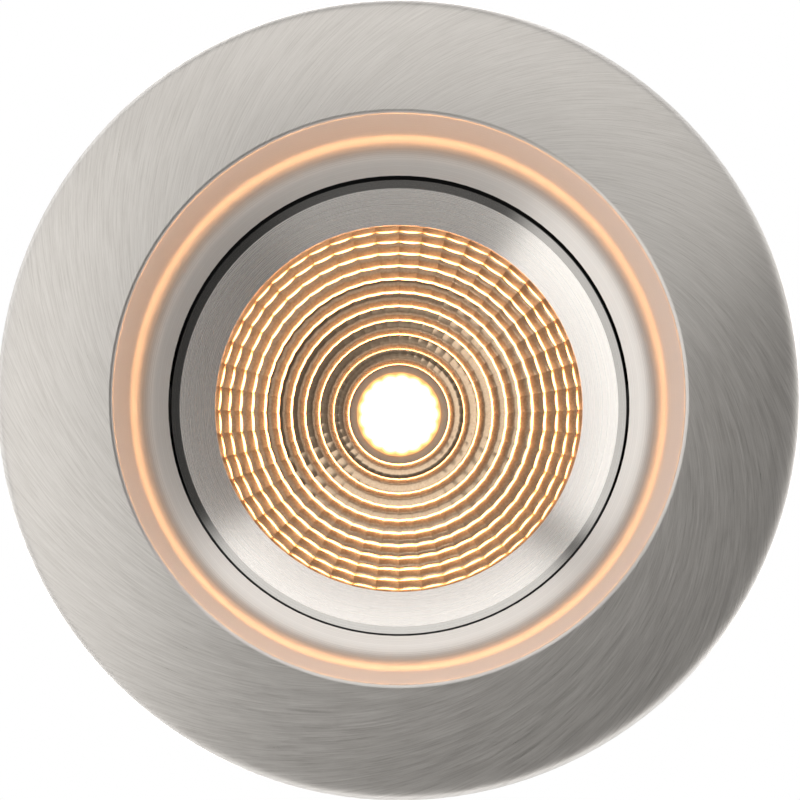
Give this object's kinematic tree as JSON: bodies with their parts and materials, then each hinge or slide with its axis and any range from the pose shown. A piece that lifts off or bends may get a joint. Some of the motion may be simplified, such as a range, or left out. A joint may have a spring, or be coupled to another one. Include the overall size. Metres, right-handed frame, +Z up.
{
  "type": "recessed spotlight",
  "caption": "Round recessed ceiling spotlight with a brushed trim, a dished recess, a tilting ball head with a faceted reflector, and folding spring clips.",
  "frame": {"origin": "centre of the plane on which the gasket meets the ceiling", "axes": "+Z up into the ceiling along the neck's axis, light shines along -Z, X along the tilt axis with a spring clip at each end"},
  "size_m": [0.0852, 0.0852, 0.0659],
  "materials": {
    "brushed_face": "brushed satin nickel on the trim",
    "turned_face": "fine turned, satin",
    "foam": "closed-cell foam",
    "bracket_steel": "zinc-plated sheet",
    "screw_steel": "zinc-plated",
    "spring_steel": "drawn spring wire",
    "black_rubber": "matt",
    "nylon": "matt nylon",
    "silicone": "translucent silicone",
    "clear_glass": "polished clear glass",
    "bright_metal": "vapour-coated faceted plastic",
    "die_cast": "turned die-cast aluminium, bead blasted",
    "sink_metal": "extruded, bead blasted",
    "white_plastic": "moulded",
    "board": "ceramic board",
    "phosphor": "glowing phosphor",
    "pad": "graphite sheet"
  },
  "bodies": {
    "trim": {"trim_ring": "brushed_face", "ceiling_gasket": "foam", "side_bracket_left": "bracket_steel", "side_bracket_right": "bracket_steel", "bracket_screws": "screw_steel", "clip_pin_left": "screw_steel", "clip_pin_right": "screw_steel", "clip_spring_left": "spring_steel", "clip_spring_right": "spring_steel"},
    "clip_left": {"clip_arm_left": "bracket_steel", "clip_sleeve_left": "black_rubber"},
    "clip_right": {"clip_arm_right": "bracket_steel", "clip_sleeve_right": "black_rubber"},
    "head": {"head_ring": "turned_face", "friction_washers": "nylon", "retaining_rings": "screw_steel", "glass_seal": "silicone", "cover_glass": "clear_glass", "reflector": "bright_metal", "lamp_housing": "die_cast", "housing_screws": "screw_steel", "led_holder": "white_plastic", "holder_screws": "screw_steel", "led_board": "board", "led_phosphor": "phosphor", "thermal_pad": "pad", "heat_sink": "sink_metal", "cable_grommet": "black_rubber"}
  },
  "joints": [
    {"name": "head_tilt", "type": "hinge", "parent": "trim", "child": "head", "pos_m": [0, 0, 0.0159], "axis": [1, 0, 0], "range_deg": [-20, 20]},
    {"name": "clip_left_fold", "type": "hinge", "parent": "trim", "child": "clip_left", "pos_m": [-0.0298, 0, 0.0305], "axis": [0, 1, 0], "range_deg": [0, 155], "stiffness_Nm_per_rad": 0.03, "springref_deg": -34.38, "deforming": ["clip_spring_left"]},
    {"name": "clip_right_fold", "type": "hinge", "parent": "trim", "child": "clip_right", "pos_m": [0.0298, 0, 0.0305], "axis": [0, -1, 0], "range_deg": [0, 155], "stiffness_Nm_per_rad": 0.03, "springref_deg": -34.38, "deforming": ["clip_spring_right"]}
  ]
}
